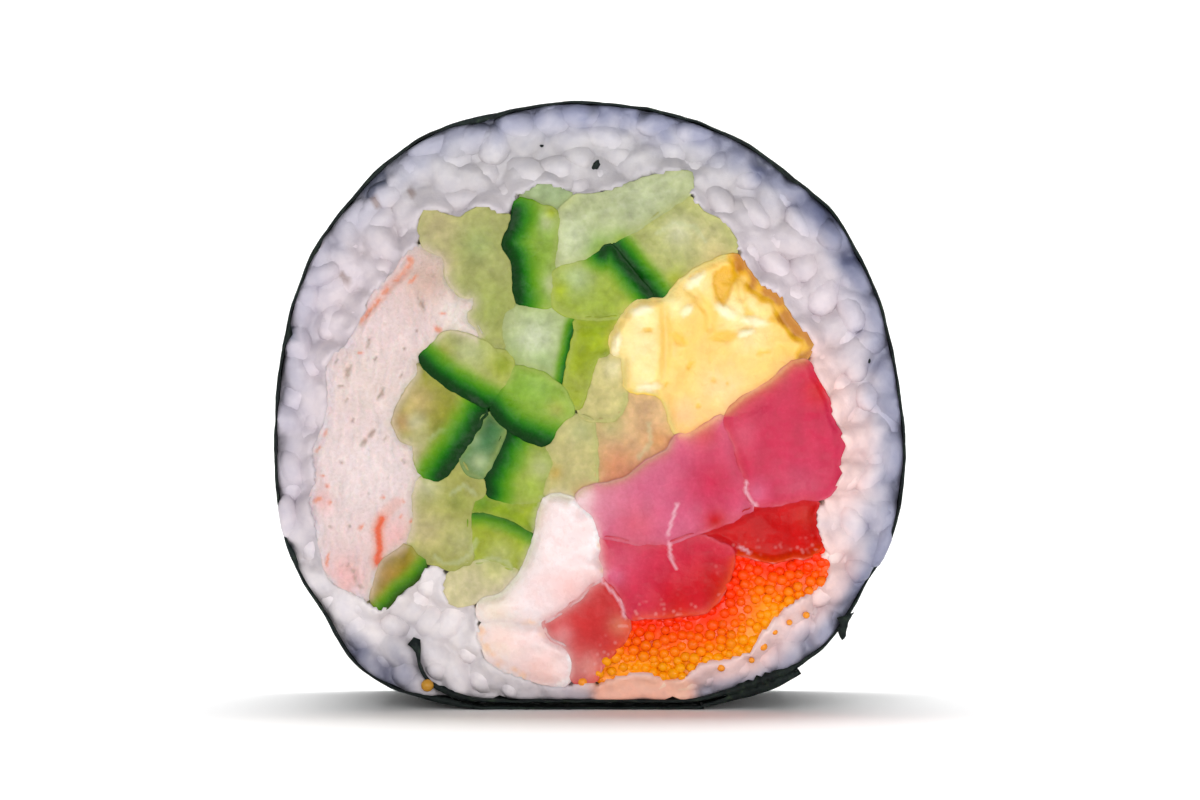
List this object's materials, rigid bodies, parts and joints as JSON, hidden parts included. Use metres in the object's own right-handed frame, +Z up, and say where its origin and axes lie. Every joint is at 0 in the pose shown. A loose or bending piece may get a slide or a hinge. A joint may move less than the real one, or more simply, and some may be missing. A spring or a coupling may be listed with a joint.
{
  "type": "futomaki slice",
  "caption": "Cut slice of a thick sushi roll: rice in a seaweed sheet round cucumber sticks, omelette, tuna, crab stick, prawn and roe.",
  "frame": {"origin": "on the surface the slice stands on, under the middle of its bounding box", "axes": "+Z up across the roll, Y along the roll from one cut face to the other, with the shown cut face towards -Y; +X to the right as that face is seen"},
  "size_m": [0.0604, 0.0233, 0.058],
  "materials": {
    "nori": "dry dark green-black seaweed sheet, slightly glossy",
    "rice": "moist translucent white cooked rice",
    "crab": "white fibrous surimi with orange-red skin flecks",
    "cucumber": "wet cut cucumber, pale green flesh and dark green skin",
    "omelette": "soft yellow rolled omelette with a brown skin",
    "tuna": "wet raw tuna, pink to deep red",
    "roe": "glossy orange fish roe",
    "prawn": "moist cooked prawn, white with a pink blush"
  },
  "bodies": {
    "root": {"nori": "nori", "rice": "rice", "crab_stick": "crab", "cucumber_core_upper": "cucumber", "cucumber_strip_upright": "cucumber", "cucumber_chip": "cucumber", "cucumber_slab_top": "cucumber", "cucumber_slab_right": "cucumber", "cucumber_wedge_middle": "cucumber", "cucumber_strip_yellow": "cucumber", "cucumber_block": "cucumber", "cucumber_wedge_left": "cucumber", "cucumber_wedge_right": "cucumber", "cucumber_strip_slant": "cucumber", "cucumber_sliver": "cucumber", "cucumber_block_lower": "cucumber", "cucumber_band": "cucumber", "cucumber_cap": "cucumber", "cucumber_corner": "cucumber", "cucumber_core_left": "cucumber", "cucumber_core_foot": "cucumber", "cucumber_core_inner": "cucumber", "cucumber_core_right": "cucumber", "cucumber_core_blush": "cucumber", "omelette": "omelette", "tuna_right": "tuna", "tuna_upper": "tuna", "tuna_dark": "tuna", "tuna_middle": "tuna", "tuna_foot": "tuna", "prawn_upper": "prawn", "prawn_lower": "prawn", "roe": "roe"}
  },
  "joints": []
}
